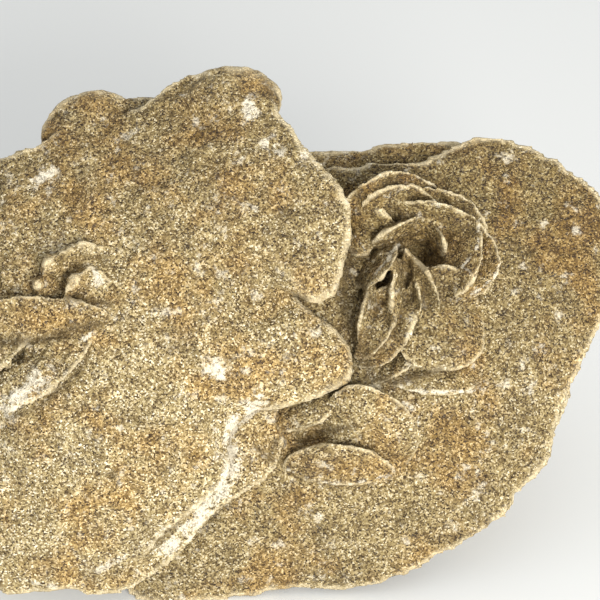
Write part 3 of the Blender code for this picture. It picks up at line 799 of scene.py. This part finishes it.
def sand_colour(nodes, tone):
    """Colour of the sand: each grain's own tone, browner and greyer areas, pale rims and marks, and
    painted shade in hollows, creases, pits, along listed lines and towards the top of the face.
    """
    colour = nodes.ramp(tone, GRAIN_COLOURS)
    drift = nodes.spread(nodes.noise(11.0, 3.0, 0.6), 0.44, 0.66, 0.0, 0.75)
    # Golden patches: partly the stone's colour, partly painted shade on faces that turn down and
    # inside the bowl.
    golden = nodes.math("MAXIMUM", drift, nodes.math("MULTIPLY", nodes.attribute("golden"), 0.85))
    colour = nodes.mix(golden, colour, GOLDEN, "MULTIPLY")
    grey = nodes.spread(nodes.noise(7.0, 3.0, 0.6), 0.48, 0.66, 0.0, 0.85)
    colour = nodes.mix(grey, colour, GREY, "MULTIPLY")
    clumps = nodes.spread(nodes.noise(1.9, 4.0, 0.72), 0.32, 0.60, 0.85, 0.0)
    colour = nodes.mix(clumps, colour, DULL_AND_SHADE_TINT, "MULTIPLY")
    patchy = nodes.noise(2.4, 5.0, 0.75)
    edge = nodes.spread(nodes.attribute("rim"), 0.06, 0.26)
    # Painted shade: darker towards the top of the face, together with each group's dulling; rims
    # are spared.
    shade = nodes.math("MULTIPLY", nodes.attribute("dull_and_shade"), nodes.math("SUBTRACT", 1.0, edge))
    colour = nodes.mix(shade, colour, DULL_AND_SHADE_TINT, "MULTIPLY")
    part_worn = nodes.spread(patchy, 0.32, 0.60, 0.0, 0.75)
    worn = nodes.math("MULTIPLY", edge, part_worn)
    colour = nodes.mix(worn, colour, SANDY)
    uneven = nodes.math("MULTIPLY", nodes.math("SUBTRACT", patchy, 0.54), 4.6)
    ragged = nodes.math("ADD", nodes.attribute("white"), uneven)
    white = nodes.math("MULTIPLY", nodes.spread(ragged, 0.25, 0.85), nodes.attribute("white"))
    white = nodes.spread(white, 0.0, 0.85, 0.0, 0.8)
    flecks = nodes.spread(nodes.noise(3.2, 4.0, 0.7), 0.57, 0.72, 0.0, 0.6)
    clean = nodes.spread(tone, 0.05, 0.40, 0.45, 1.0)
    white = nodes.math("MULTIPLY", nodes.math("MAXIMUM", flecks, white), clean)
    colour = nodes.mix(white, colour, PALE)
    # Painted shade: darker in creases and pits, and in hollows as far as the blades around shut off
    # the sky.
    crease = nodes.spread(nodes.attribute("rim"), -0.05, -0.25, 0.0, 0.4)
    hollow = nodes.spread(nodes.attribute("shelter"), 0.18, 0.75, 0.0, 0.36)
    # Painted shade along the listed lines, in patches.
    line_shade_patchiness = nodes.spread(patchy, 0.2, 0.5, 0.35, 0.8)
    painted_line_shade = nodes.math("MULTIPLY", nodes.attribute("dark"), line_shade_patchiness)
    painted_shade = nodes.math("MAXIMUM", nodes.math("MAXIMUM", hollow, crease), painted_line_shade)
    return nodes.mix(painted_shade, colour, PAINTED_SHADE_COLOUR)


def skin_material():
    """The bed that the grains lie in: the same sand, finer, with a grainy bump."""
    nodes = Nodes("sand_bed")
    cells = nodes.cells(0.30)
    tone = nodes.add("ShaderNodeSeparateColor")
    nodes.put(tone.inputs["Color"], cells.outputs["Color"])
    nodes.put(nodes.shader.inputs["Base Color"], sand_colour(nodes, tone.outputs["Red"]))
    rough = nodes.spread(tone.outputs["Green"], 0.0, 1.0, 0.5, 0.95)
    nodes.put(nodes.shader.inputs["Roughness"], rough)
    bump = nodes.add("ShaderNodeBump")
    nodes.put(bump.inputs["Height"], cells.outputs["Distance"])
    bump.invert = True
    bump.inputs["Strength"].default_value = 0.9
    bump.inputs["Distance"].default_value = 0.25 * MM
    nodes.put(nodes.shader.inputs["Normal"], bump.outputs["Normal"])
    return nodes.material


def grain_material():
    """Sand grains: flat facets, some of them glossy."""
    nodes = Nodes("sand_grains")
    tone = nodes.attribute("tone")
    nodes.put(nodes.shader.inputs["Base Color"], sand_colour(nodes, tone))
    gloss = nodes.math("FRACT", nodes.math("MULTIPLY", tone, 17.0), 0.0)
    nodes.put(nodes.shader.inputs["Roughness"], nodes.spread(gloss, 0.0, 0.6, 0.3, 0.9))
    return nodes.material


# The stone.

all_blades = main_blades() + right_rosette() + lower_petals() + left_rosette() + back_blades()
blades = list(enumerate(all_blades))
first_petal = len(main_blades())
first_left = first_petal + len(right_rosette() + lower_petals())
first_back = first_left + len(left_rosette())
# Each group: name, blades, voxel cell, pitting, roughness, and how much its colour is dulled;
# painted shade towards the top of the face is added to that.
groups = (
    ("front_disc", blades[1:9], 0.64, 0.25, 1.2, 0.25),
    ("right_disc", blades[:1] + blades[9:first_petal], 0.7, 0.35, 1.2, 0.8),
    ("right_rosette", blades[first_petal:first_left], 0.45, 0.0, 0.9, 0.85),
    ("left_rosette", blades[first_left:first_back], 0.45, 0.3, 1.9, 0.3),
    ("back_discs", blades[first_back:], 1.0, 0.3, 1.2, 0.5),
)

skins = {}
bed = skin_material()
for name, members, cell, pitted, rough, dull_and_shade in groups:
    skin = joined_skin(name, members, cell)
    weather(skin, pitted, rough, dull_and_shade)
    skin.data.materials.clear()
    skin.data.materials.append(bed)
    skins[name] = skin

shelter_of(list(skins.values()))
front = [skins[name] for name in ("front_disc", "right_disc", "right_rosette", "left_rosette")]
grains = strew_grains("front_grains", front, FRONT_GRAINS, 5, BACK_SHARE)
grains += strew_grains("back_grains", [skins["back_discs"]], BACK_GRAINS, 6, 1.0)
sand = grain_material()
for piece in grains:
    piece.data.materials.append(sand)

for piece in [*skins.values(), *grains]:
    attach(piece, "root")
    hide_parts(NODE)

# Floor, lights and camera.


def plain_floor():
    bm = bmesh.new()
    bmesh.ops.create_grid(bm, x_segments=1, y_segments=1, size=3.0)
    mesh = bpy.data.meshes.new("floor")
    bm.to_mesh(mesh)
    bm.free()
    floor = bpy.data.objects.new("floor", mesh)
    bpy.context.scene.collection.objects.link(floor)
    nodes = Nodes("floor")
    nodes.shader.inputs["Base Color"].default_value = (0.76, 0.765, 0.745, 1)
    nodes.shader.inputs["Roughness"].default_value = 0.9
    mesh.materials.append(nodes.material)


def area_light(name, place, target, size, watts, colour=(1, 1, 1)):
    data = bpy.data.lights.new(name, "AREA")
    data.size = size
    data.energy = watts
    data.color = colour
    lamp = bpy.data.objects.new(name, data)
    lamp.location = place
    aim = Vector(target) - lamp.location
    lamp.rotation_euler = aim.to_track_quat("-Z", "Y").to_euler()
    bpy.context.scene.collection.objects.link(lamp)


def sky(colour, strength):
    world = bpy.data.worlds.new("studio")
    world.use_nodes = True
    background = world.node_tree.nodes["Background"]
    background.inputs["Color"].default_value = (*colour, 1)
    background.inputs["Strength"].default_value = strength
    bpy.context.scene.world = world


def place_camera():
    lean = math.radians(FACE_LEAN)
    outward = Vector((0, -math.cos(lean), math.sin(lean)))
    origin = Vector((-PART_MIDDLE[0], -PART_MIDDLE[1], FACE_HEIGHT)) * MM
    data = bpy.data.cameras.new("camera")
    data.sensor_width = SENSOR
    data.lens = SENSOR * CAMERA_DISTANCE / FRAME_WIDTH
    data.dof.use_dof = False
    camera = bpy.data.objects.new("camera", data)
    camera.location = origin + outward * CAMERA_DISTANCE * MM
    camera.rotation_euler = (-outward).to_track_quat("-Z", "Y").to_euler()
    bpy.context.scene.collection.objects.link(camera)
    bpy.context.scene.camera = camera


plain_floor()
area_light("key", (0.30, -0.83, 0.32), (0, 0, 0.04), 0.40, 11.5, (1.0, 0.985, 0.96))
sky((0.97, 0.985, 1.0), 0.85)
place_camera()
bpy.context.scene.view_settings.view_transform = "Standard"
